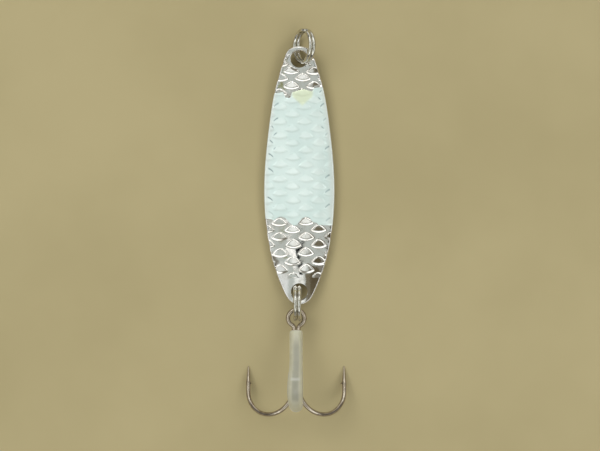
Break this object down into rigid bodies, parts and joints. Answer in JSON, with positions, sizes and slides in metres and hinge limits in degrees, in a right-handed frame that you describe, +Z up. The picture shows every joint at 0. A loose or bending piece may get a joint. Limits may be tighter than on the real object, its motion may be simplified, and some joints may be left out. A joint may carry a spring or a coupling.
{
  "type": "spoon lure",
  "caption": "Rocker-curved metal spoon lure with a pearl tape patch, split rings at both ends and a brazed treble hook with a soft tube over its raised point.",
  "frame": {"origin": "on the surface that the lure lies on, under the middle of its box", "axes": "+X to the right of the spoon seen from its front, +Y from the hook towards the line ring, +Z up out of the spoon's front face"},
  "size_m": [0.0198, 0.076, 0.0188],
  "materials": {
    "plated_blank": "bright nickel plating over an embossed scale pattern",
    "pearl_tape": "pearl self-adhesive film pressed into the scales",
    "ring_wire": "nickel-plated spring wire",
    "hook_wire": "bronzed nickel hook wire",
    "braze_metal": "plated-over brazing filler",
    "soft_tube": "frosted translucent soft tubing"
  },
  "bodies": {
    "spoon": {"spoon_blank": "plated_blank", "glow_tape": "pearl_tape"},
    "line_ring": {"line_ring": "ring_wire"},
    "hook_ring": {"hook_ring": "ring_wire"},
    "treble": {"double_hook": "hook_wire", "single_hook": "hook_wire", "braze_seam": "braze_metal", "hook_guard": "soft_tube"}
  },
  "joints": [
    {"name": "line_ring_swing", "type": "hinge", "parent": "spoon", "child": "line_ring", "pos_m": [0.00087, 0.03417, 0.00213], "axis": [-0.866, 0, 0.5], "range_deg": [-3, 100]},
    {"name": "hook_ring_swing", "type": "hinge", "parent": "spoon", "child": "hook_ring", "pos_m": [0.0002, -0.01573, 0.00213], "axis": [1, 0, 0], "range_deg": [-3, 90]},
    {"name": "treble_swing", "type": "hinge", "parent": "hook_ring", "child": "treble", "pos_m": [0.0002, -0.01893, 0.00264], "axis": [0, 0, 1], "range_deg": [-60, 60]}
  ]
}
